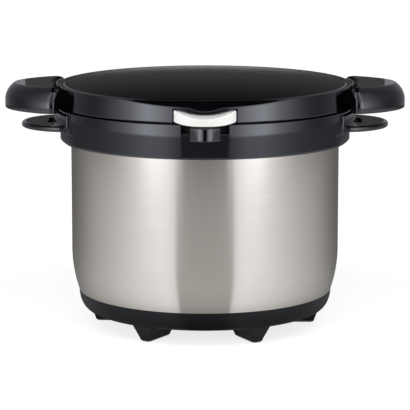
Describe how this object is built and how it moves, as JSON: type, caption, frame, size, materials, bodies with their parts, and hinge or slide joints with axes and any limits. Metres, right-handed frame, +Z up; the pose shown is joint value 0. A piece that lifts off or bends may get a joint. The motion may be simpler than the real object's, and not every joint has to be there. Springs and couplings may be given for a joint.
{
  "type": "thermal cooker",
  "caption": "Round steel thermal cooker on short feet, with a hinged and latched insulated lid, side grips and a covered inner pot.",
  "frame": {"origin": "on the floor under the middle of the container, which is the bottom centre of the overall box", "axes": "+X to the object's right seen from the front, across the two ears; -Y to the front, where the latch is; +Z up"},
  "size_m": [0.3486, 0.271, 0.2176],
  "materials": {
    "shell_steel": "satin",
    "inner_steel": "satin",
    "pot_steel": "polished",
    "fastener_steel": "polished",
    "spread_base": "satin",
    "gloss_black": "gloss",
    "satin_black": "satin",
    "matte_black": "matte",
    "foot_black": "matte",
    "white_gloss": "gloss",
    "seal_grey": "matte",
    "plate_grey": "satin",
    "knob_black": "satin",
    "clear_glass": "polished",
    "foam": "matte"
  },
  "bodies": {
    "container": {"outer_shell": "shell_steel", "vacuum_liner": "inner_steel", "vacuum_port_cap": "inner_steel", "base_cover": "matte_black", "feet": "foot_black", "base_nuts": "fastener_steel", "base_screws": "fastener_steel", "mouth_seal": "seal_grey", "collar": "gloss_black", "grip_left": "gloss_black", "grip_right": "gloss_black", "grip_screws": "fastener_steel", "latch_catch": "gloss_black", "catch_screws": "fastener_steel", "hinge_bracket": "gloss_black", "bracket_screws": "fastener_steel", "hinge_pin": "fastener_steel", "pot_body": "pot_steel", "pot_base": "spread_base", "pot_loop_brackets": "fastener_steel", "pot_loops": "fastener_steel", "pot_rivets": "fastener_steel", "cover_glass": "clear_glass", "cover_band": "pot_steel", "cover_knob": "knob_black", "knob_screw": "fastener_steel"},
    "lid": {"lid_frame": "gloss_black", "lid_panel": "satin_black", "lid_core": "foam", "lid_plate": "plate_grey", "lid_seal": "seal_grey", "lid_screws": "fastener_steel", "ear_left": "gloss_black", "ear_right": "gloss_black", "ear_screws": "fastener_steel", "latch_pin": "fastener_steel", "latch_spring": "fastener_steel"},
    "latch": {"latch_lever": "white_gloss", "latch_hook": "fastener_steel"}
  },
  "joints": [
    {"name": "lid_hinge", "type": "hinge", "parent": "container", "child": "lid", "pos_m": [0, 0.1305, 0.1989], "axis": [-1, 0, 0], "range_deg": [0, 95]},
    {"name": "latch_press", "type": "hinge", "parent": "lid", "child": "latch", "pos_m": [0, -0.113, 0.2013], "axis": [1, 0, 0], "range_deg": [0, 4], "stiffness_Nm_per_rad": 0.2, "springref_deg": -11.46}
  ]
}
